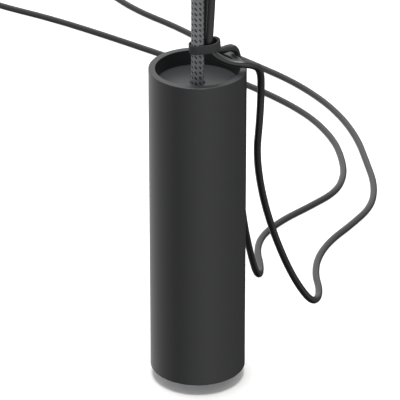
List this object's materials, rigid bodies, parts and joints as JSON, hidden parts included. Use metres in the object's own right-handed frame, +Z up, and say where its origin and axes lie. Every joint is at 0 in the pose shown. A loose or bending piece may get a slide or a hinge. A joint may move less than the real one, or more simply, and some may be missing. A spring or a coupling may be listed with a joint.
{
  "type": "rope floor weight with strapped supply cables",
  "caption": "Black cylindrical floor weight for a taut braided rope, with a strap that gathers the rope and the round supply cables running down beside it.",
  "frame": {"origin": "on the floor at the middle of the foot pad's underside", "axes": "+Z up along the rope and the casing's axis, +X to the side where the cables leave over the rim, +Y to the back"},
  "size_m": [0.4411, 0.9979, 0.4666],
  "materials": {
    "powder_coat_black": "satin fine-texture black powder coat",
    "cast_iron_ballast": "turned grey iron, lightly oiled",
    "zinc_steel": "bright zinc-plated steel",
    "black_oxide_steel": "black oxide",
    "nickel_steel": "satin nickel plate",
    "black_anodised": "fine bead-blasted, black anodised",
    "pad_rubber": "matte",
    "nylon_black": "moulded, matte",
    "rope_braid": "grey and black diagonal braid",
    "rope_core_white": "loose white yarn",
    "strap_elastomer": "smooth matte",
    "stud_plastic": "moulded, satin",
    "tie_fabric": "woven hook-and-loop tape",
    "cable_pvc": "extruded, satin",
    "plug_plastic": "moulded, fine spark texture",
    "contact_insert": "moulded, matte",
    "pin_brass": "nickel-plated brass"
  },
  "bodies": {
    "weight": {"ballast_slug_1": "cast_iron_ballast", "ballast_slug_2": "cast_iron_ballast", "ballast_slug_3": "cast_iron_ballast", "ballast_slug_4": "cast_iron_ballast", "base_plate": "zinc_steel", "base_screws": "zinc_steel", "cable_a": "cable_pvc", "cable_a_coil": "cable_pvc", "cable_a_coil_tie": "tie_fabric", "cable_a_tail": "cable_pvc", "cable_b": "cable_pvc", "cable_b_coil": "cable_pvc", "cable_b_coil_tie": "tie_fabric", "cable_b_tail": "cable_pvc", "casing_tube": "powder_coat_black", "connector_a_body": "plug_plastic", "connector_a_insert": "contact_insert", "connector_a_relief": "cable_pvc", "connector_b_body": "plug_plastic", "connector_b_insert": "contact_insert", "connector_b_relief": "cable_pvc", "foot_boss": "zinc_steel", "foot_pad": "pad_rubber", "foot_screws": "zinc_steel", "plug_a_body": "plug_plastic", "plug_a_pins": "pin_brass", "plug_a_relief": "cable_pvc", "plug_b_body": "plug_plastic", "plug_b_pins": "pin_brass", "plug_b_relief": "cable_pvc", "rope_bush": "nylon_black", "rope_core": "rope_core_white", "rope_sheath": "rope_braid", "rope_stopper": "black_anodised", "rope_terminal": "black_anodised", "slug_screws": "zinc_steel", "stopper_grub_screws": "black_oxide_steel", "terminal_grub_screws": "black_oxide_steel", "thrust_washer": "zinc_steel", "tie_rod_nuts": "zinc_steel", "tie_rod_washers": "zinc_steel", "tie_rods": "zinc_steel", "top_disc": "powder_coat_black"},
    "lower_strap": {"lower_strap": "strap_elastomer", "lower_strap_stud": "stud_plastic"},
    "upper_strap": {"upper_strap": "strap_elastomer", "upper_strap_stud": "stud_plastic"},
    "swivel": {"swivel_eye": "nickel_steel", "swivel_nut": "zinc_steel"}
  },
  "joints": [
    {"name": "lower_strap_slide", "type": "slide", "parent": "weight", "child": "lower_strap", "axis": [0, 0, 1], "range_m": [0, 0.022]},
    {"name": "upper_strap_slide", "type": "slide", "parent": "weight", "child": "upper_strap", "axis": [0, 0, 1], "range_m": [-0.015, 0.004]},
    {"name": "eye_swivel", "type": "hinge", "parent": "weight", "child": "swivel", "pos_m": [0, 0, 0.444], "axis": [0, 0, 1], "continuous": true}
  ]
}
